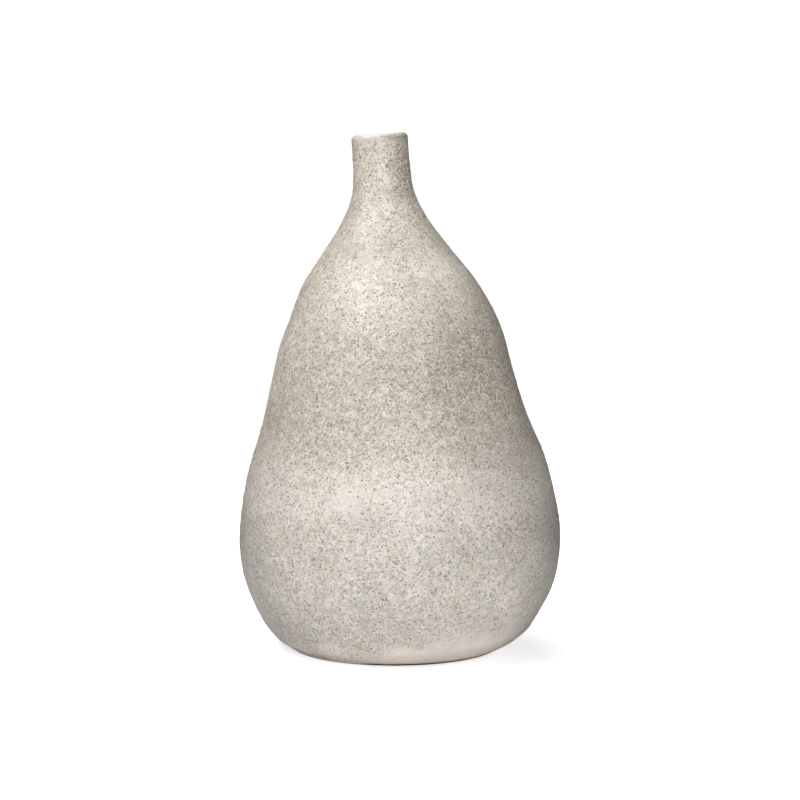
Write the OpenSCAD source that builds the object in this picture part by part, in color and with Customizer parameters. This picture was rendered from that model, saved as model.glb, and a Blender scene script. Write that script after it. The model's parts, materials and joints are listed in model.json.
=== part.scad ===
// Stoneware bottle vase: a pear-shaped body with a narrow neck, built up in clay sections
// that are joined edge to edge with slip, then coated with two glazes.
// It was thrown straight and settled before it dried, so its axis leans and its foot is cut level.

/* [Body] */
// Length of the body's axis, from the table to the top of the lip
body_h = 304; // [274:1:334]
// Widest diameter, at the belly
belly_d = 190; // [170:1:210]
// Outside diameter of the neck at the lip
neck_d = 33; // [31:0.5:40]
// Lean of the body's axis towards -X, in degrees
lean = 2.7; // [0:0.1:3.5]

/* [Walls] */
// Thickness of the clay wall
wall_t = 6; // [5:0.5:8]
// Thickness of the clay floor at the middle
floor_t = 9; // [8:0.5:11]
// Diameter of the glazed bore through the neck
bore_d = 20; // [16:0.5:22]
// Height of the rounding on top of the lip
lip_round = 3; // [2:0.5:4]

/* [Foot] */
// Diameter of the shallow hollow under the foot
hollow_d = 80; // [60:1:90]
// Depth of the hollow under the foot
hollow_depth = 1.5; // [1:0.25:2.5]

/* [Joints] */
// Height up the axis of the joint between the base slab and the lower wall
base_joint = 12; // [12:0.5:16]
// Height of the joint at the waist, as a percentage of body_h
waist_joint_share = 54.5; // [50:0.5:57.5]
// Height of the joint below the neck, as a percentage of body_h
neck_joint_share = 84.5; // [81:0.5:85.5]
// Thickness of the slip in each joint
slip_t = 1; // [0.8:0.1:1.5]
// Rise of each joint from the outside of the wall to the inside, which keys the edges
bevel = 4; // [2:0.5:5]

/* [Glaze] */
// Thickness of the speckled glaze outside
glaze_t = 0.8; // [0.6:0.1:1]
// Thickness of the pale glaze inside
liner_t = 0.7; // [0.6:0.1:1]
// Height of the clay wiped bare above the table
bare_h = 1.2; // [0.8:0.1:2]
// How far the pale inner glaze runs down the outside, below the lip's rounding
band_h = 1; // [0.5:0.5:3]

/* [Hidden] */
$fn = 96;

RAW_CLAY = [0.45, 0.26, 0.19];
SLIP_CLAY = [0.38, 0.21, 0.15];
SPECKLED_GLAZE = [0.75, 0.71, 0.65];
PALE_GLAZE = [0.87, 0.84, 0.78];

// Stations up the outline: height as a percentage of body_h, and swell as a percentage of
// the step from the neck's radius to the belly's. The first lies below the level foot.
OUTLINE = [
    [-1.5, 42], [0, 57], [1.5, 67], [3.45, 76.5], [7.9, 88], [14.8, 97.5], [24.2, 100], [34.05, 93],
    [44.4, 79.5], [54.3, 68.5], [63.65, 59], [71.05, 45], [77.45, 26.5], [83.4, 11], [89.8, 1.5], [100, 0]
];
STATIONS = [for (s = OUTLINE) [s[0] * body_h / 100, (neck_d + s[1] * (belly_d - neck_d) / 100) / 2]];
LAST = len(STATIONS) - 1;

belly_h = STATIONS[6][0];
axis_foot = STATIONS[0][0];
waist_joint = waist_joint_share * body_h / 100;
neck_joint = neck_joint_share * body_h / 100;
lip_h = body_h - lip_round;
lip_line = lip_h - band_h;
bore_r = bore_d / 2;
clay_bore_r = bore_r + liner_t;
wall_depth = glaze_t + wall_t;
throat_h = 0.908 * body_h;
floor_top = floor_t + liner_t;
table = 4 * belly_d;
ring_step = 4;
lip_step = 20;

// Slope of the outline at a station, from the stations on either side of it.
function station_slope(i) = let (a = STATIONS[max(i - 1, 0)], b = STATIONS[min(i + 1, LAST)])
    i == LAST ? 0 : (b[1] - a[1]) / (b[0] - a[0]);

// Index of the last station at or below a height.
function station_below(z) = min(len([for (s = STATIONS) if (s[0] <= z) 1]) - 1, LAST - 1);

// Radius of the outline at a height: a cubic through the stations, smooth where they meet.
function radius(z) = let (
        i = max(station_below(z), 0), a = STATIONS[i], b = STATIONS[i + 1],
        h = b[0] - a[0], t = (z - a[0]) / h,
        from_a = pow(1 - t, 2) * (1 + 2 * t), from_b = t * t * (3 - 2 * t)
    ) a[1] * from_a + b[1] * from_b
        + station_slope(i) * h * t * pow(1 - t, 2) - station_slope(i + 1) * h * t * t * (1 - t);

function slope(z) = (radius(z + 0.05) - radius(z - 0.05)) / 0.1;

// Radius of the surface that lies a depth inside the outline, measured square to it.
function radius_in(z, depth) = radius(z) - depth * sqrt(1 + pow(slope(z), 2));

// Heights that every layer shares, so that layers in contact have the same rings.
MARKS = concat(
    [axis_foot, floor_t],
    [for (j = [base_joint, waist_joint, neck_joint], up = [0, slip_t, bevel, bevel + slip_t]) j + up],
    [throat_h, lip_line, lip_h]
);
HEIGHTS = concat(
    [for (i = [0:len(MARKS) - 2])
        let (a = MARKS[i], b = MARKS[i + 1], n = ceil((b - a) / ring_step))
        for (k = [0:n - 1]) a + (b - a) * k / n],
    [lip_h]
);

// Points up the outside of a layer, and up its inside, which ends in the straight bore.
function outside(z0, z1, depth) = [for (z = HEIGHTS) if (z >= z0 && z <= z1) [radius_in(z, depth), z]];
function inside(z0, z1, depth, bore) = concat(
    [for (z = HEIGHTS) if (z >= z0 && z <= z1 && z < throat_h) [max(radius_in(z, depth), bore), z]],
    z1 > throat_h ? [[bore, throat_h], [bore, z1]] : []
);

// Points over the lip, from outside to inside.
function over_lip(depth, bore) = let (rim = radius_in(lip_h, depth), half = (rim - bore) / 2)
    [for (a = [lip_step:lip_step:180 - lip_step])
        [bore + half + half * cos(a), lip_h + (lip_round - depth) * sin(a)]];

function reverse(points) = [for (i = [len(points) - 1:-1:0]) points[i]];

// Places a shape drawn about the body's own axis: leaning, with the belly over the origin.
module leaning() {
    translate([belly_h * sin(lean), 0, 0]) rotate([0, -lean, 0]) children();
}

// Everything above a level, measured from the table.
module above(level) {
    translate([-table / 2, -table / 2, level]) cube([table, table, 2 * body_h]);
}

// One ring of clay between two heights on the outside, its edges rising by the bevel.
module clay_ring(z0, z1) {
    leaning() rotate_extrude() polygon(concat(
        outside(z0, z1, glaze_t),
        reverse(inside(z0 + bevel, z1 + bevel, wall_depth, clay_bore_r))
    ));
}

module seam(joint) {
    color(SLIP_CLAY) clay_ring(joint, joint + slip_t);
}

// Shallow dish that the walls stand on, cut level where it rests on the table.
module base_slab() {
    color(RAW_CLAY) difference() {
        intersection() {
            leaning() rotate_extrude() polygon(concat(
                [[0, axis_foot]],
                outside(axis_foot, base_joint, glaze_t),
                reverse(inside(floor_t, base_joint + bevel, wall_depth, clay_bore_r)),
                [[0, floor_t]]
            ));
            above(0);
        }
        translate([0, 0, -hollow_depth]) cylinder(d = hollow_d, h = 2 * hollow_depth);
    }
}

module lower_wall() {
    color(RAW_CLAY) clay_ring(base_joint + slip_t, waist_joint);
}

module upper_wall() {
    color(RAW_CLAY) clay_ring(waist_joint + slip_t, neck_joint);
}

// Straight neck with a rounded lip.
module neck_collar() {
    color(RAW_CLAY) leaning() rotate_extrude() polygon(concat(
        outside(neck_joint + slip_t, lip_h, glaze_t),
        over_lip(glaze_t, clay_bore_r),
        reverse(inside(neck_joint + slip_t + bevel, lip_h, wall_depth, clay_bore_r))
    ));
}

// Coat over the outside, from the bare foot up to the pale band at the lip.
module outer_glaze() {
    color(SPECKLED_GLAZE) intersection() {
        leaning() rotate_extrude() polygon(concat(
            outside(axis_foot, lip_line, 0),
            reverse(outside(axis_foot, lip_line, glaze_t))
        ));
        above(bare_h);
    }
}

// Coat over the floor and the inside, up the bore and over the lip.
module inner_glaze() {
    color(PALE_GLAZE) leaning() rotate_extrude() polygon(concat(
        outside(lip_line, lip_h, 0),
        over_lip(0, bore_r),
        reverse(inside(base_joint, lip_h, wall_depth + liner_t, bore_r)),
        [[radius_in(floor_top, wall_depth + liner_t), floor_top], [0, floor_top], [0, floor_t]],
        inside(floor_t, lip_h, wall_depth, clay_bore_r),
        reverse(over_lip(glaze_t, clay_bore_r)),
        reverse(outside(lip_line, lip_h, glaze_t))
    ));
}

base_slab();
lower_wall();
upper_wall();
neck_collar();
seam(base_joint);  // base_seam
seam(waist_joint);  // waist_seam
seam(neck_joint);  // neck_seam
outer_glaze();
inner_glaze();
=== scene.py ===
"""Looks of the stoneware bottle vase: its glazed skins, clay, studio and camera, around the CAD frame.

The vase is a body of revolution about a leaning axis. The two glazes are rebuilt here as fine lathed skins
from the CAD nodes' own rings, and the clay keeps the CAD's meshes. One deformation moves all layers alike, so
that they stay in contact. Lengths are in millimetres until a mesh is made. The frame, the studio and the
camera are in metres.
"""

import json
import math
from collections import namedtuple

import bpy
import numpy as np
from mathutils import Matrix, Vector


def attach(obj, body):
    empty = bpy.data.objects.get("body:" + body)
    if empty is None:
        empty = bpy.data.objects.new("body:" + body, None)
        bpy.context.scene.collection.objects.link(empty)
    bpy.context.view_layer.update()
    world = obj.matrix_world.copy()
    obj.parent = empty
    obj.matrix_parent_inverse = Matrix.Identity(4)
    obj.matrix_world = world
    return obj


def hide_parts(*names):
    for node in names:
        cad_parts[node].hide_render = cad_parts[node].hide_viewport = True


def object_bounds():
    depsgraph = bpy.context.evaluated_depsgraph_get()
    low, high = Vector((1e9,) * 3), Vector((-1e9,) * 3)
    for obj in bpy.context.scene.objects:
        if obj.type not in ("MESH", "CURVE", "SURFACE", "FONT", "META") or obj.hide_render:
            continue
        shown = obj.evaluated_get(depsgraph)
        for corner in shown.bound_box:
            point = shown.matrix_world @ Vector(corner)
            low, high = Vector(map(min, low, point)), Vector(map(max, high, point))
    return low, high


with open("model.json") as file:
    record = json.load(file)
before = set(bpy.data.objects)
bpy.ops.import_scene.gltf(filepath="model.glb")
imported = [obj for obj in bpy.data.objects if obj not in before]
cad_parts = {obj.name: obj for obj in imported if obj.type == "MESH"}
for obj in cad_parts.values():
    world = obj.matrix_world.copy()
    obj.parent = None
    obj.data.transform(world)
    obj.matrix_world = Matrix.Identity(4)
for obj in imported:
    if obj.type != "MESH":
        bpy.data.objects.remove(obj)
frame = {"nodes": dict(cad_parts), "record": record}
cad_low, cad_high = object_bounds()

MM = 0.001
BODY = "root"

# --- The vase's own axis and its heights, from the record and the CAD nodes ---

mounts = {m["name"]: m for m in frame["record"]["mounts"]}
MOUTH = mounts["mouth"]
UP = np.array(MOUTH["axis"])
UP = UP / np.linalg.norm(UP)
SIDE = np.array([UP[2], 0.0, -UP[0]])
DEPTH = np.array([0.0, 1.0, 0.0])
MOUTH_MIDDLE = np.array(MOUTH["pos_m"]) / MM
AXIS_FOOT = MOUTH_MIDDLE - UP * MOUTH_MIDDLE[2] / UP[2]
BORE_RADIUS = MOUTH["dims"]["r_mm"]


def cad_points(node):
    """A CAD node's vertices in millimetres."""
    mesh = frame["nodes"][node].data
    flat = np.empty(len(mesh.vertices) * 3)
    mesh.vertices.foreach_get("co", flat)
    return flat.reshape(-1, 3) / MM


def about_axis(points):
    """Height along the body's axis, distance from it, and turn about it, where a turn of 0 is +X."""
    off = points - AXIS_FOOT
    height = off @ UP
    return height, np.hypot(off @ SIDE, off @ DEPTH), np.arctan2(off @ DEPTH, off @ SIDE)


def cad_rings(node, pick):
    """Heights of a CAD node's rings, from the lowest up, with the radius that pick finds in each.

    pick is max or min. A ring that lies within least_gap of the last one kept is left out.
    """
    least_points, same_ring, least_gap = 12, 0.02, 0.9
    height, radius, _ = about_axis(cad_points(node))
    keys = np.round(height / same_ring).astype(int)
    found = []
    for key in np.unique(keys):
        on_ring = keys == key
        level = height[on_ring].mean()
        if on_ring.sum() >= least_points and (not found or level - found[-1][0] > least_gap):
            found.append((level, pick(radius[on_ring])))
    return np.array(found)


class Outline:
    """A smooth radius at any height, through a CAD node's rings."""

    def __init__(self, rings):
        self.heights, self.radii = rings[:, 0], rings[:, 1]
        self.slopes = np.gradient(self.radii, self.heights)

    def radius(self, height):
        h = np.asarray(height, float)
        i = np.clip(np.searchsorted(self.heights, h) - 1, 0, len(self.heights) - 2)
        step = self.heights[i + 1] - self.heights[i]
        t = (h - self.heights[i]) / step
        below = t < 0
        t = np.maximum(t, 0)
        radius = (
            self.radii[i] * (1 + 2 * t) * (1 - t) ** 2
            + self.radii[i + 1] * t**2 * (3 - 2 * t)
            + step * t * (1 - t) * (self.slopes[i] * (1 - t) - self.slopes[i + 1] * t)
        )
        return np.where(below, self.radii[0] + (h - self.heights[0]) * self.slopes[0], radius)


GLAZE = Outline(cad_rings("outer_glaze", np.max))
CLAY = Outline(cad_rings("outer_glaze", np.min))
LIP_LINE = GLAZE.heights[-1]
LIP_TOP = about_axis(cad_points("inner_glaze"))[0].max()
LIP_ROUND_FROM = about_axis(np.array([MOUTH_MIDDLE]))[0][0] + MOUTH["dims"]["length_mm"] / 2
GLAZE_DEPTH = GLAZE.radii[-1] - CLAY.radii[-1]

# --- The potter's hand: how the fired vase departs from a true body of revolution ---

# A push in or out of the wall, spread over a height and a turn in degrees, in millimetres. The pushes and
# the neck's further lean were set where the CAD's outline missed the real one.
Press = namedtuple("Press", "height tall turn wide push")
PRESSES = [
    Press(height=199, tall=15, turn=180, wide=60, push=-2.1),
    Press(height=180, tall=16, turn=0, wide=60, push=0.8),
    Press(height=18, tall=10, turn=0, wide=50, push=-1.6),
    Press(height=16, tall=10, turn=180, wide=50, push=0.6),
]
NECK_LEAN = 1.0
NECK_LEAN_FROM = 255
NECK_LEAN_BLEND = 14
# Heights over which the pushes fade in above the foot, and out below the line between the glazes.
STEADY_FOOT = 10
STEADY_LIP = 25


def smooth_step(value, low, high):
    """0 below low and 1 above high, with a smooth rise between them."""
    t = np.clip((value - low) / (high - low), 0, 1)
    return t * t * (3 - 2 * t)


def hand_waves(height, turn):
    """Slow unevenness of a thrown wall, and the faint rings that fingers leave in it."""
    rng = np.random.default_rng(7)
    total = np.zeros(np.broadcast(height, turn).shape)
    for lobes in (1, 2, 2, 3, 4, 5):
        pitch, shift, size = rng.uniform(45, 110), rng.uniform(0, 2 * math.pi), rng.uniform(0.05, 0.12)
        total += size * np.sin(lobes * turn + 2 * math.pi * height / pitch + shift)
    for pitch in (7.3, 9.1, 12.7):
        wander = 1.6 * np.sin(turn + pitch) + 0.8 * np.sin(3 * turn - pitch)
        total += 0.022 * np.sin(2 * math.pi * (height + wander) / pitch)
    return total


def deform(points):
    """Moves points of any layer as the hand did: the same for every point at one height and turn."""
    height, _, turn = about_axis(points)
    push = hand_waves(height, turn)
    for p in PRESSES:
        around = np.degrees(np.angle(np.exp(1j * (turn - math.radians(p.turn)))))
        push += p.push * np.exp(-(((height - p.height) / p.tall) ** 2) - (around / p.wide) ** 2)
    push *= smooth_step(height, 0, STEADY_FOOT)
    push *= 1 - smooth_step(height, LIP_LINE - STEADY_LIP, LIP_LINE)
    moved = points.copy()
    moved[:, 0] += push * np.cos(turn)
    moved[:, 1] += push * np.sin(turn)
    past = NECK_LEAN_BLEND * np.log1p(np.exp((height - NECK_LEAN_FROM) / NECK_LEAN_BLEND))
    bend = math.radians(NECK_LEAN) * smooth_step(
        height, NECK_LEAN_FROM - 3 * NECK_LEAN_BLEND, NECK_LEAN_FROM + 3 * NECK_LEAN_BLEND
    )
    from_axis = (points - AXIS_FOOT) @ SIDE
    moved[:, 0] -= math.radians(NECK_LEAN) * past
    moved[:, 2] += bend * from_axis
    return moved


# --- Meshes ---

SEGMENTS = 384
TURNS = np.linspace(0, 2 * math.pi, SEGMENTS, endpoint=False)
# Edges sharper than this, in degrees, stay crisp in the shading of a skin and of the clay.
SKIN_CREASE = 50
CLAY_CREASE = 35


def on_body(height, radius, turn=TURNS):
    """Points in the frame at a height, radius and turn about the body's axis."""
    height, radius, turn = np.broadcast_arrays(height, radius, turn)
    across = (radius * np.cos(turn))[..., None] * SIDE + (radius * np.sin(turn))[..., None] * DEPTH
    return AXIS_FOOT + height[..., None] * UP + across


def add_piece(name, points, faces, node, material):
    """Makes a smooth-shaded piece in place of a CAD node."""
    mesh = bpy.data.meshes.new(name)
    mesh.from_pydata((points * MM).tolist(), [], faces)
    mesh.validate()
    mesh.shade_smooth()
    mesh.materials.append(material)
    piece = bpy.data.objects.new(name, mesh)
    bpy.context.scene.collection.objects.link(piece)
    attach(piece, BODY)
    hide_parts(node)
    return piece


def lathe(name, rings, node, material, poles=()):
    """A closed skin through rings of SEGMENTS points.

    With two poles it starts and ends at them; with none the last ring joins the first.
    """
    count = len(rings)
    points = [np.concatenate(rings)]
    faces = []
    pairs = [(k, k + 1) for k in range(count - 1)] + ([] if len(poles) else [(count - 1, 0)])
    for a, b in pairs:
        for s in range(SEGMENTS):
            t = (s + 1) % SEGMENTS
            faces.append((a * SEGMENTS + s, a * SEGMENTS + t, b * SEGMENTS + t, b * SEGMENTS + s))
    for pole, ring in zip(poles, (0, count - 1)):
        index = count * SEGMENTS + len(points) - 1
        points.append(np.array([pole]))
        for s in range(SEGMENTS):
            t = (s + 1) % SEGMENTS
            corners = (ring * SEGMENTS + t, ring * SEGMENTS + s)
            faces.append((index, *corners) if ring == 0 else (index, *reversed(corners)))
    piece = add_piece(name, deform(np.concatenate(points)), faces, node, material)
    piece.data.set_sharp_from_angle(angle=math.radians(SKIN_CREASE))
    return piece


def even_heights(outline, low, high, count):
    """Heights from low to high, evenly spaced along the outline's own length."""
    samples = 3000
    fine = np.linspace(low, high, samples)
    radius = outline.radius(fine)
    length = np.concatenate([[0], np.cumsum(np.hypot(np.diff(fine), np.diff(radius)))])
    return np.interp(np.linspace(0, length[-1], count), length, fine)


def level_cut(outline, level):
    """Height on the body, at each turn, where an outline meets a level above the table."""
    rounds = 30
    height = np.zeros(SEGMENTS)
    for _ in range(rounds):
        height = (level - SIDE[2] * outline.radius(height) * np.cos(TURNS)) / UP[2]
    return height


def rings_above(outline, heights, level):
    """Rings up an outline, the lowest ones squeezed so that the first lies on a level."""
    squeezed_below = 24
    start = level_cut(outline, level)
    share = (heights - heights[0]) / (squeezed_below - heights[0])
    rings = []
    for h, s in zip(heights, share):
        at = start + (squeezed_below - start) * s if s < 1 else np.full(SEGMENTS, h)
        rings.append(on_body(at, outline.radius(at)))
    return rings


def wavy(lobes_and_sizes, seed):
    """A sum of slow waves round the vase."""
    rng = np.random.default_rng(seed)
    return sum(size * np.sin(n * TURNS + rng.uniform(0, 2 * math.pi)) for n, size in lobes_and_sizes)


# Level of the glaze's lower edge above the table at each turn, higher at the front, where the bare clay
# shows, and how far the line between the two glazes wanders up and down.
BARE_TURN = math.radians(-70)
BARE_WIDE = math.radians(38)
BARE_SIDE = np.exp(-((np.angle(np.exp(1j * (TURNS - BARE_TURN))) / BARE_WIDE) ** 2))
FOOT_LINE = 0.24 + 0.12 * BARE_SIDE + wavy([(3, 0.03), (7, 0.04), (19, 0.04)], seed=3)
LIP_WAVE = wavy([(2, 0.25), (5, 0.2), (9, 0.15), (23, 0.08)], seed=5)
UNDERCUT = 0.4
ROLL_DROP = 0.12


def speckled_skin(material):
    """Outer coat, from the wavy foot line up to the pale band at the lip."""
    outer_rings, inner_rings, lowest = 200, 38, -3
    outer = rings_above(GLAZE, even_heights(GLAZE, lowest, LIP_LINE, outer_rings), FOOT_LINE)
    inner = rings_above(CLAY, even_heights(CLAY, lowest, LIP_LINE, inner_rings), FOOT_LINE + UNDERCUT)
    rolled = [outer[0] * (1 - s) + inner[0] * s - [0, 0, ROLL_DROP] for s in (0.25, 0.6)]
    for ring in (outer[-1], inner[-1]):
        ring += LIP_WAVE[:, None] * UP
    grit(outer)
    rings = outer + inner[::-1] + rolled[::-1]
    return lathe("speckled_glaze_coat", rings, "outer_glaze", material)


def grit(rings):
    """Raises small grains under the glaze, as the clay's coarse sand does."""
    rng = np.random.default_rng(11)
    count, clear_of_edges, reach = 900, 6, 4
    points = np.array(rings)
    centre = points.mean(axis=1, keepdims=True)
    outward = points - centre
    outward /= np.linalg.norm(outward, axis=2, keepdims=True)
    raised = np.zeros(points.shape[:2])
    for _ in range(count):
        ring = rng.integers(clear_of_edges, len(rings) - clear_of_edges)
        segment = rng.integers(SEGMENTS)
        size, tall = rng.uniform(0.9, 1.5), rng.uniform(0.06, 0.34)
        near = slice(max(ring - reach, 0), ring + reach + 1)
        gap = np.linalg.norm(points[near] - points[ring, segment], axis=2)
        raised[near] = np.maximum(raised[near], tall * np.exp(-((gap / size) ** 2)))
    points += outward * raised[..., None]
    for ring, moved in zip(rings, points):
        ring[:] = moved


def lip_arc(outer, inner, top, steps):
    """Rings over the lip from outside to inside, as half of an ellipse."""
    middle, half = (outer + inner) / 2, (outer - inner) / 2
    rings = []
    for a in np.linspace(0, math.pi, steps):
        height = LIP_ROUND_FROM + (top - LIP_ROUND_FROM) * math.sin(a)
        rings.append(on_body(height, middle + half * math.cos(a)))
    return rings


def pale_skin(material):
    """Inner coat: the pale band outside, over the lip, down the bore and over the inside of the body."""
    band_stands_out, bare_middle, above_throat = 0.04, 0.9, 8
    rim = GLAZE.radii[-1]
    proud = rim + band_stands_out
    liner = cad_rings("inner_glaze", np.min)
    liner = liner[liner[:, 1] > BORE_RADIUS * bare_middle]
    backing = cad_rings("inner_glaze", np.max)
    throat = liner[np.isclose(liner[:, 1], BORE_RADIUS, atol=0.02)][0, 0]
    inside = Outline(liner[liner[:, 0] <= throat])
    floor = liner[0]
    against = Outline(backing[backing[:, 0] <= throat])
    depth = BORE_RADIUS + against.radii[-1] - inside.radii[-1]
    band_h = LIP_ROUND_FROM - LIP_LINE
    band = [on_body(LIP_LINE + LIP_WAVE * (1 - s) + s * band_h, proud) for s in (0, 0.3, 0.7)]
    over = lip_arc(proud, BORE_RADIUS, LIP_TOP, 28)
    bore = [on_body(h, BORE_RADIUS) for h in np.linspace(LIP_ROUND_FROM, throat, 10)[1:-1]]
    body = [on_body(h, inside.radius(h)) for h in even_heights(inside, floor[0], throat, 110)[::-1]]
    under = [on_body(h, against.radius(h)) for h in even_heights(against, against.heights[0], throat, 60)]
    sleeve = [on_body(h, depth) for h in (throat + above_throat, LIP_ROUND_FROM)]
    cap = lip_arc(rim - GLAZE_DEPTH, depth, LIP_TOP - GLAZE_DEPTH, 12)[::-1]
    edge = [on_body(LIP_LINE + LIP_WAVE, rim - GLAZE_DEPTH)]
    rings = under + sleeve + cap[1:] + edge + band + over + bore + body
    poles = [on_body(against.heights[0], 0.0, 0.0), on_body(floor[0], 0.0, 0.0)]
    return lathe("pale_glaze_lining", rings, "inner_glaze", material, poles)


def hidden_clay(node, name, material):
    """A clay section inside the coats: the CAD node's own mesh, moved like every layer."""
    source = frame["nodes"][node].data
    points = deform(cad_points(node))
    faces = [tuple(p.vertices) for p in source.polygons]
    piece = add_piece(name, points, faces, node, material)
    piece.data.set_sharp_from_angle(angle=math.radians(CLAY_CREASE))
    return piece


# --- Materials ---


class Graph:
    """A material's node graph, in the frame's coordinates and in millimetres."""

    def __init__(self, name):
        self.material = bpy.data.materials.new(name)
        self.material.use_nodes = True
        self.tree = self.material.node_tree
        self.shader = self.tree.nodes["Principled BSDF"]
        coordinates = self.tree.nodes.new("ShaderNodeTexCoord")
        self.point = self.vector("SCALE", coordinates.outputs["Object"], scale=1 / MM)

    def put(self, socket, value):
        """Links a socket into another, or sets its value."""
        if isinstance(value, bpy.types.NodeSocket):
            self.tree.links.new(value, socket)
        elif value is not None:
            socket.default_value = value

    def math(self, operation, a, b=None, c=None):
        node = self.tree.nodes.new("ShaderNodeMath")
        node.operation = operation
        for socket, value in zip(node.inputs, (a, b, c)):
            self.put(socket, value)
        return node.outputs[0]

    def vector(self, operation, a, b=None, scale=None):
        node = self.tree.nodes.new("ShaderNodeVectorMath")
        node.operation = operation
        self.put(node.inputs[0], a)
        self.put(node.inputs[1], b)
        if operation == "SCALE":
            self.put(node.inputs["Scale"], scale)
        return node.outputs["Value" if operation in ("DOT_PRODUCT", "LENGTH") else "Vector"]

    def noise(self, size, seed=0, detail=2.0, roughness=0.5, point=None, out="Fac"):
        node = self.tree.nodes.new("ShaderNodeTexNoise")
        shifted = self.vector("ADD", point or self.point, (seed * 131.0, seed * 57.0, seed * 83.0))
        self.put(node.inputs["Vector"], shifted)
        self.put(node.inputs["Scale"], 1 / size)
        self.put(node.inputs["Detail"], detail)
        self.put(node.inputs["Roughness"], roughness)
        return node.outputs[out]

    def swing(self, size, seed, detail=2.0, point=None):
        """Noise about zero."""
        return self.math("SUBTRACT", self.noise(size, seed=seed, detail=detail, point=point), 0.5)

    def shifted(self, size, seed, by, detail):
        """The point, moved by noise of a size, so that what is drawn there has uneven edges."""
        noise = self.noise(size, seed=seed, detail=detail, out="Color")
        way = self.vector("SUBTRACT", noise, (0.5, 0.5, 0.5))
        return self.vector("ADD", self.point, self.vector("SCALE", way, scale=by))

    def remap(self, value, low, high, to_low=0.0, to_high=1.0, smooth=True):
        node = self.tree.nodes.new("ShaderNodeMapRange")
        node.interpolation_type = "SMOOTHSTEP" if smooth else "LINEAR"
        self.put(node.inputs["Value"], value)
        self.put(node.inputs["From Min"], low)
        self.put(node.inputs["From Max"], high)
        self.put(node.inputs["To Min"], to_low)
        self.put(node.inputs["To Max"], to_high)
        return node.outputs["Result"]

    def mix(self, amount, a, b, blend="MIX"):
        node = self.tree.nodes.new("ShaderNodeMix")
        node.data_type = "RGBA"
        node.blend_type = blend
        self.put(node.inputs["Factor"], amount)
        self.put(node.inputs["A"], (*a, 1.0) if isinstance(a, tuple) else a)
        self.put(node.inputs["B"], (*b, 1.0) if isinstance(b, tuple) else b)
        return node.outputs["Result"]

    def specks(self, cell, radius, seed, share=1.0, warp=None):
        """Round-ish grains: how much of one covers each point, and a random number of its own."""
        node = self.tree.nodes.new("ShaderNodeTexVoronoi")
        shifted = self.vector("ADD", warp or self.point, (seed * 71.0, seed * 113.0, seed * 29.0))
        self.put(node.inputs["Vector"], shifted)
        self.put(node.inputs["Scale"], 1 / cell)
        gap = self.math("MULTIPLY", node.outputs["Distance"], cell)
        split = self.tree.nodes.new("ShaderNodeSeparateColor")
        self.put(split.inputs["Color"], node.outputs["Color"])
        edge = self.math("MULTIPLY_ADD", split.outputs["Red"], radius, radius * 0.5)
        core = self.math("MULTIPLY", edge, 0.5)
        cover = self.remap(gap, core, edge, 1.0, 0.0)
        present = self.math("LESS_THAN", split.outputs["Green"], share)
        return self.math("MULTIPLY", cover, present), split.outputs["Blue"]

    def stained(self, color, size, seed, stain, strength, least, share, point):
        """A colour with grains over it, each as strong as its own random number says, and their cover."""
        cell, radius = size
        cover, shade = self.specks(cell, radius, seed=seed, share=share, warp=point)
        amount = self.math("MULTIPLY", cover, self.math("MULTIPLY_ADD", shade, strength, least))
        return self.mix(amount, color, stain), cover

    def from_foot(self, way):
        """Distance of each point from the axis' foot, along a direction."""
        off = self.vector("SUBTRACT", self.point, tuple(AXIS_FOOT))
        return self.vector("DOT_PRODUCT", off, tuple(way))

    def cloud(self, at, point):
        """How much of a cloud covers each point: 1 in its middle, fading smoothly to 0 at its reach."""
        middle = on_body(at.height, GLAZE.radius(at.height), math.radians(at.turn))
        off = self.vector("SUBTRACT", point, tuple(middle))
        around = 1 / at.wide if at.wide else 0.0
        spread = self.vector("MULTIPLY", off, (around, around, 1 / at.tall))
        return self.remap(self.vector("LENGTH", spread), 0.0, 1.0, 1.0, 0.0)

    def finish(self, color, roughness, height=None, depth=0.1):
        """Gives the shader its colour, roughness and bump, whose depth is in millimetres."""
        self.put(self.shader.inputs["Base Color"], color)
        self.put(self.shader.inputs["Roughness"], roughness)
        if height is not None:
            bump = self.tree.nodes.new("ShaderNodeBump")
            bump.inputs["Distance"].default_value = depth * MM
            self.put(bump.inputs["Height"], height)
            self.put(self.shader.inputs["Normal"], bump.outputs["Normal"])
        return self.material


def linear(red, green, blue):
    """A colour given as 0 to 255 on screen, as the shader takes it."""
    return tuple(((v / 255 + 0.055) / 1.055) ** 2.4 for v in (red, green, blue))
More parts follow.
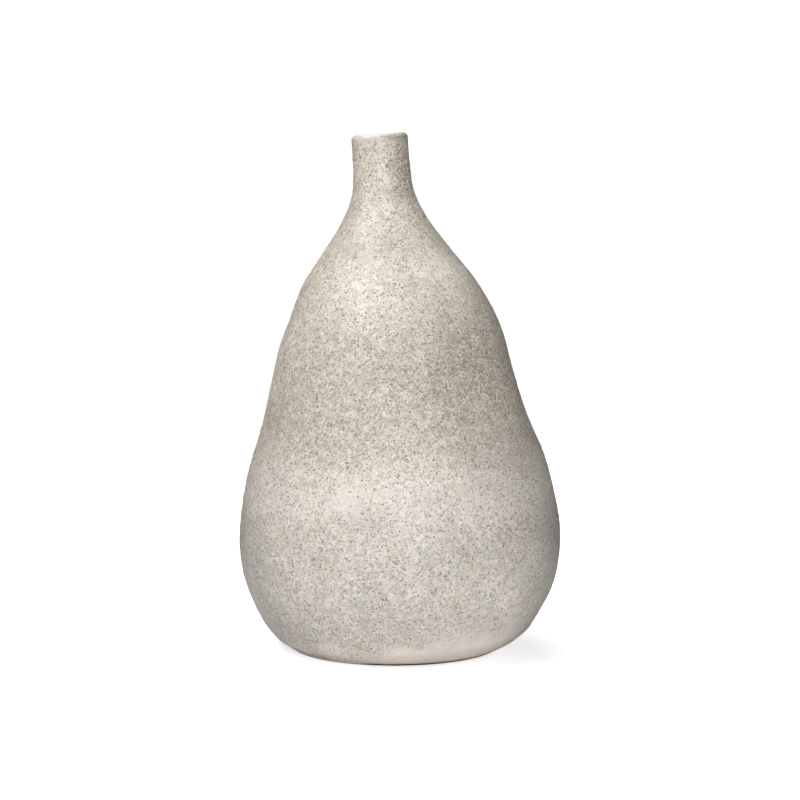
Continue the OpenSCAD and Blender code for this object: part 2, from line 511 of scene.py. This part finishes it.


# A soft patch in the speckled glaze, or a ring right round it where wide is 0: how much lighter the glaze
# is in its middle, and how many more of the places for specks are taken there. A turn of -90 faces the
# viewer. All were placed and weighed to follow the real vase's clouds and its light and shade, so the list
# mixes the glaze's own clouds with painted light and painted shade.
SoftPatch = namedtuple("SoftPatch", "height turn tall wide light specks")
CLOUDS_AND_PAINTED_LIGHT = [
    SoftPatch(height=290, turn=0, tall=36, wide=0, light=0.19, specks=0.0),
    SoftPatch(height=204, turn=0, tall=32, wide=0, light=0.07, specks=0.0),
    SoftPatch(height=162, turn=0, tall=36, wide=0, light=-0.05, specks=0.15),
    SoftPatch(height=132, turn=0, tall=24, wide=0, light=-0.06, specks=0.1),
    SoftPatch(height=97, turn=0, tall=24, wide=0, light=0.11, specks=-0.1),
    SoftPatch(height=19, turn=0, tall=20, wide=0, light=-0.10, specks=0.0),
    SoftPatch(height=1, turn=0, tall=11, wide=0, light=0.12, specks=-0.3),
    SoftPatch(height=280, turn=-25, tall=30, wide=22, light=0.06, specks=0.5),
    SoftPatch(height=260, turn=-8, tall=34, wide=32, light=0.32, specks=0.1),
    SoftPatch(height=238, turn=-107, tall=30, wide=28, light=-0.18, specks=0.0),
    SoftPatch(height=229, turn=-165, tall=30, wide=30, light=0.08, specks=0.0),
    SoftPatch(height=224, turn=-40, tall=30, wide=44, light=0.17, specks=-0.2),
    SoftPatch(height=162, turn=-56, tall=36, wide=60, light=-0.06, specks=0.35),
    SoftPatch(height=184, turn=-165, tall=30, wide=54, light=0.14, specks=0.0),
    SoftPatch(height=156, turn=180, tall=40, wide=52, light=0.36, specks=0.0),
    # Lighter and with fewer specks on the front of the belly: partly a painted highlight.
    SoftPatch(height=100, turn=-112, tall=16, wide=30, light=0.04, specks=-0.4),
    SoftPatch(height=158, turn=-28, tall=50, wide=44, light=0.26, specks=0.2),
    SoftPatch(height=84, turn=-58, tall=26, wide=30, light=0.10, specks=0.0),
    # This one and the next two darken the lower body at its right and left edges: painted shade.
    SoftPatch(height=50, turn=-10, tall=56, wide=66, light=-0.46, specks=0.1),
    SoftPatch(height=40, turn=-176, tall=70, wide=84, light=-0.40, specks=0.0),
    SoftPatch(height=12, turn=-140, tall=26, wide=60, light=-0.14, specks=0.0),
    SoftPatch(height=16, turn=-48, tall=22, wide=60, light=0.08, specks=-0.2),
    SoftPatch(height=0, turn=-58, tall=28, wide=80, light=0.26, specks=-1.2),
]
# The glaze between the specks, at its darkest and lightest: warm on the neck and shoulder, cooler on the
# belly.
WARM_DARK = linear(161, 150, 132)
WARM_LIGHT = linear(228, 220, 209)
COOL_DARK = linear(159, 150, 140)
COOL_LIGHT = linear(227, 220, 213)
LIP_PALE = linear(214, 209, 200)
# The bare clay's red-brown, darkened as painted shade under the glaze's edge.
CLAY_EDGE_IN_PAINTED_SHADE = linear(126, 58, 44)
FOOT_EDGE = SoftPatch(height=0, turn=-72, tall=40, wide=62, light=0.0, specks=0.0)
SPECK_TAN = linear(128, 116, 98)
SPECK_BROWN = linear(96, 82, 68)
# Away from the clouds: lightness of the glaze, and the share of the places for specks that are taken.
GLAZE_LIGHT = 1.04
SPECK_SHARE = 0.62
# Sizes and weights of the mottle's layers of noise, the level they are added to, and the level that they
# are calmed about where specks are few.
MOTTLES = [(0.75, 1.15), (1.6, 1.0), (3.4, 0.8), (7.5, 0.42)]
MOTTLE_LEVEL = 0.58
MOTTLE_MIDDLE = 0.64
# Spacing and radius of the iron specks.
FINE_SPECKS = (1.05, 0.52)
BOLD_SPECKS = (2.2, 0.62)
RARE_SPECKS = (6.0, 0.65)
# Heights between which the glaze turns from cool to warm, and those of the red-brown edge above the table.
WARM_HEIGHTS = (96, 150)
RED_EDGE = (1.8, 2.2)


def speckled_glaze():
    """Cream glaze, mottled, with iron specks of three sizes, and clouds where it ran thick or thin, with
    painted light and shade among them; a pale band at the lip, laid on more strongly towards -X as a painted
    highlight; and the bare clay's red-brown edge at the front of the foot, darkened as painted shade.
    """
    g = Graph("speckled_glaze_painted_light_look")
    height = g.from_foot(UP)
    drifted = g.shifted(34, seed=6, by=44.0, detail=2.0)
    light, share = GLAZE_LIGHT, SPECK_SHARE
    # The patches' lightness carries painted light and shade as well as the glaze's own clouds.
    for at in CLOUDS_AND_PAINTED_LIGHT:
        cover = g.cloud(at, drifted)
        light = g.math("MULTIPLY_ADD", cover, at.light, light)
        if at.specks:
            share = g.math("MULTIPLY_ADD", cover, at.specks, share)
    streaked = g.vector("MULTIPLY", g.point, (0.16, 0.16, 1.0))
    light = g.math("MULTIPLY_ADD", g.swing(4.5, seed=31, point=streaked), 0.16, light)
    light = g.math("MULTIPLY_ADD", g.swing(24, seed=32), 0.2, light)
    mottle = MOTTLE_LEVEL
    for k, (size, weight) in enumerate(MOTTLES):
        mottle = g.math("MULTIPLY_ADD", g.swing(size, seed=20 + k, detail=1.0), weight, mottle)
    calm = g.remap(share, 0.0, 1.0, 0.2, 1.25, smooth=False)
    mottle = g.math("MULTIPLY_ADD", g.math("SUBTRACT", mottle, MOTTLE_MIDDLE), calm, MOTTLE_MIDDLE)
    warmth = g.math("MULTIPLY_ADD", g.swing(13, seed=8), 2.4, g.remap(height, *WARM_HEIGHTS))
    color = g.mix(mottle, g.mix(warmth, COOL_DARK, WARM_DARK), g.mix(warmth, COOL_LIGHT, WARM_LIGHT))
    tint = g.remap(g.noise(9, seed=9, detail=2.0), 0.3, 0.7)
    color = g.mix(1.0, color, g.mix(tint, (1.01, 0.998, 1.008), (0.985, 1.013, 0.996)), "MULTIPLY")
    color = g.vector("SCALE", color, scale=light)

    at_specks = {"share": share, "point": g.shifted(1.2, seed=1, by=1.3, detail=1.0)}
    color, _ = g.stained(color, FINE_SPECKS, 3, SPECK_TAN, 0.7, 0.3, **at_specks)
    color, bold = g.stained(color, BOLD_SPECKS, 4, SPECK_TAN, 0.65, 0.35, **at_specks)
    color, _ = g.stained(color, RARE_SPECKS, 5, SPECK_BROWN, 0.4, 0.5, **at_specks)

    # Pale band below the lip line, laid on more strongly towards -X, where it is also a painted highlight on
    # the lit side of the lip.
    near_lip = g.math("MULTIPLY_ADD", g.swing(3.2, seed=33), 9.0, height)
    paler = g.remap(near_lip, LIP_LINE - 2.4, LIP_LINE + 0.4)
    fade = g.math("MULTIPLY", paler, g.remap(g.from_foot(SIDE), -4, 14, 0.95, 0.35))
    color = g.mix(fade, color, LIP_PALE)
    # Bare clay at the front of the foot, painted on the glaze in the clay's colour darkened as painted shade
    # under the glaze's edge.
    above_table = g.vector("DOT_PRODUCT", g.point, (0.0, 0.0, 1.0))
    ragged = g.math("MULTIPLY_ADD", g.swing(5, seed=34), 0.6, above_table)
    at_front = g.remap(g.cloud(FOOT_EDGE, g.point), 0.1, 0.4)
    color = g.mix(g.math("MULTIPLY", g.remap(ragged, *RED_EDGE, 1.0, 0.0), at_front), color, CLAY_EDGE_IN_PAINTED_SHADE)

    ripple = g.noise(2.6, seed=12, detail=3.0, roughness=0.55)
    relief = g.math("SUBTRACT", ripple, g.math("MULTIPLY", bold, 0.3))
    roughness = g.math("ADD", g.remap(ripple, 0.3, 0.7, 0.42, 0.52), g.math("MULTIPLY", bold, 0.12))
    return g.finish(color, roughness, height=relief, depth=0.12)


def pale_glaze():
    """Pale glaze of the inside and the lip, with few specks, more of them towards +X, painted lighter towards
    -X as a highlight and darker towards +X as shade.
    """
    g = Graph("pale_glaze_painted_light_look")
    mottle = g.noise(2.2, seed=14, detail=3.0, roughness=0.6)
    side = g.from_foot(SIDE)
    # Lighter towards -X as a painted highlight, darker towards +X as painted shade.
    low = g.mix(g.remap(side, -14, 14), linear(202, 198, 191), linear(176, 169, 156))
    high = g.mix(g.remap(side, -14, 14), linear(226, 223, 217), linear(212, 205, 193))
    color = g.mix(g.remap(mottle, 0.3, 0.7), low, high)
    share = g.remap(side, -10, 16, 0.15, 0.8)
    point = g.shifted(1.2, seed=15, by=1.3, detail=1.0)
    color, _ = g.stained(color, (1.5, 0.4), 16, SPECK_TAN, 0.5, 0.15, share, point)
    bold, _ = g.specks(4.0, 0.55, seed=17, share=share, warp=point)
    color = g.mix(g.math("MULTIPLY", bold, 0.6), color, SPECK_BROWN)
    return g.finish(color, g.remap(mottle, 0.3, 0.7, 0.34, 0.46), height=mottle, depth=0.08)


def raw_clay(name, low, high):
    """Fired red-brown clay with sand in it."""
    g = Graph(name)
    grain = g.noise(0.9, seed=5, detail=4.0, roughness=0.65)
    color = g.mix(g.remap(grain, 0.3, 0.7), low, high)
    return g.finish(color, g.remap(grain, 0.3, 0.7, 0.7, 0.92), height=grain, depth=0.15)


# --- Studio, in metres and watts ---

FLOOR_RADIUS = 0.9
FLOOR_COLOR = (238, 238, 238)
DISC_MIDDLE = 0.001
BOARD_RADIUS = 0.35
BOARD_DROP = 0.0005
GLOW_FROM = 0.25
GLOW_NEAR = 0.68
GLOW_FAR = 1.0
BACKDROP_RADIUS = 4.0
BACKDROP_WALL = 1.5
BACKDROP_GLOW = 1.05
# Azimuth 0 is the viewer's side. The places and sizes were chosen one by one. The powers of the first four
# came from a least-squares match to the vase's brightness, were rounded, and then adjusted.
Lamp = namedtuple("Lamp", "name azimuth elevation distance size power")
LAMPS = [
    Lamp("key", -57, 58, 1.6, 0.9, 21.5),
    Lamp("front", -10, 18, 1.7, 0.9, 1.0),
    Lamp("low_front", 12, 4, 1.6, 0.5, 13.3),
    Lamp("top", 0, 89, 1.6, 1.2, 4.0),
    Lamp("back", 180, 50, 1.6, 0.9, 8.0),
]
LAMP_TARGET = Vector((0, 0, 0.15))
ROOM_LIGHT = 0.03
# The distance is assumed. The height, the sideways shift and the lens came from a fit of the vase's
# outline, and the aim, as a share of the vase's height, was then corrected.
CAMERA_AWAY = 1.4
CAMERA_HEIGHT = 0.2924
CAMERA_SHIFT = 0.0004
AIM_SHARE = 0.4826
LENS = 107.0
SENSOR = 36.0


def disc_rings(outline, name, material):
    """A stage piece turned about the vertical from (radius, height) points, from the middle out."""
    around = 96
    turns = [2 * math.pi * s / around for s in range(around)]
    points = [(r * math.cos(t), r * math.sin(t), z) for r, z in outline for t in turns]
    faces = []
    for k in range(len(outline) - 1):
        a, b = k * around, (k + 1) * around
        for s in range(around):
            t = (s + 1) % around
            faces.append((a + s, b + s, b + t, a + t))
    mesh = bpy.data.meshes.new(name)
    mesh.from_pydata(points, [], faces)
    mesh.shade_smooth()
    mesh.materials.append(material)
    obj = bpy.data.objects.new(name, mesh)
    bpy.context.scene.collection.objects.link(obj)
    return obj


def studio():
    """A white floor and backdrop for the camera, and just under the floor an unseen board.

    The board throws the lamps' light back up at the vase. The floor and the backdrop glow, which keeps them
    white where the lamps fade, and none of that glow lights the vase.
    """
    floor = Graph("studio_floor_white")
    floor.finish((*linear(*FLOOR_COLOR), 1.0), 0.9)
    floor.shader.inputs["Emission Color"].default_value = (1, 1, 1, 1)
    away = floor.vector("LENGTH", floor.vector("MULTIPLY", floor.point, (MM, MM, 0)))
    glow = floor.remap(away, GLOW_FROM, FLOOR_RADIUS, GLOW_NEAR, GLOW_FAR)
    floor.put(floor.shader.inputs["Emission Strength"], glow)
    table = disc_rings([(DISC_MIDDLE, 0.0), (FLOOR_RADIUS, 0.0)], "studio_floor", floor.material)
    card = Graph("studio_backdrop_white")
    card.finish((0.0, 0.0, 0.0, 1.0), 1.0)
    card.shader.inputs["Emission Color"].default_value = (1, 1, 1, 1)
    card.shader.inputs["Emission Strength"].default_value = BACKDROP_GLOW
    outline = [(FLOOR_RADIUS, 0.0), (BACKDROP_RADIUS, 0.0), (BACKDROP_RADIUS, BACKDROP_WALL)]
    backdrop = disc_rings(outline, "studio_backdrop", card.material)
    for piece in (table, backdrop):
        piece.visible_diffuse = piece.visible_glossy = piece.visible_shadow = False
    board = Graph("studio_board_white")
    board.finish((*linear(*FLOOR_COLOR), 1.0), 0.9)
    level = [(DISC_MIDDLE, -BOARD_DROP), (BOARD_RADIUS, -BOARD_DROP)]
    under = disc_rings(level, "studio_board", board.material)
    under.visible_camera = False


def lamps():
    """Round area lamps, all aimed at the vase, and a little light from the room."""
    for lamp in LAMPS:
        turn, rise = math.radians(lamp.azimuth), math.radians(lamp.elevation)
        away = Vector((math.sin(turn) * math.cos(rise), -math.cos(turn) * math.cos(rise), math.sin(rise)))
        data = bpy.data.lights.new(lamp.name, "AREA")
        data.shape, data.size, data.energy = "DISK", lamp.size, lamp.power
        light = bpy.data.objects.new(lamp.name, data)
        light.location = LAMP_TARGET + away * lamp.distance
        light.rotation_mode = "QUATERNION"
        light.rotation_quaternion = away.to_track_quat("Z", "Y")
        light.visible_camera = False
        bpy.context.scene.collection.objects.link(light)
    world = bpy.data.worlds.new("room")
    world.use_nodes = True
    background = world.node_tree.nodes["Background"]
    background.inputs["Color"].default_value = (1, 1, 1, 1)
    background.inputs["Strength"].default_value = ROOM_LIGHT
    bpy.context.scene.world = world


def camera():
    """A little below the lip, looking slightly down at the middle of the vase."""
    middle = (cad_low + cad_high) / 2
    data = bpy.data.cameras.new("camera")
    data.lens, data.sensor_width = LENS, SENSOR
    obj = bpy.data.objects.new("camera", data)
    obj.location = Vector((CAMERA_SHIFT, middle.y - CAMERA_AWAY, CAMERA_HEIGHT))
    aim = Vector((CAMERA_SHIFT, middle.y, AIM_SHARE * cad_high.z))
    obj.rotation_mode = "QUATERNION"
    obj.rotation_quaternion = (aim - obj.location).to_track_quat("-Z", "Y")
    bpy.context.scene.collection.objects.link(obj)
    bpy.context.scene.camera = obj


# --- Assembly ---

red_clay = raw_clay("raw_clay_look", linear(128, 84, 66), linear(160, 112, 90))
dark_slip = raw_clay("slip_clay_look", linear(104, 66, 52), linear(132, 90, 72))

speckled_skin(speckled_glaze())
pale_skin(pale_glaze())
for part in ("base_slab", "lower_wall", "upper_wall", "neck_collar"):
    hidden_clay(part, part + "_clay", red_clay)
for part in ("base_seam", "waist_seam", "neck_seam"):
    hidden_clay(part, part + "_slip", dark_slip)

camera()
lamps()
studio()
bpy.context.scene.view_settings.view_transform = "Standard"
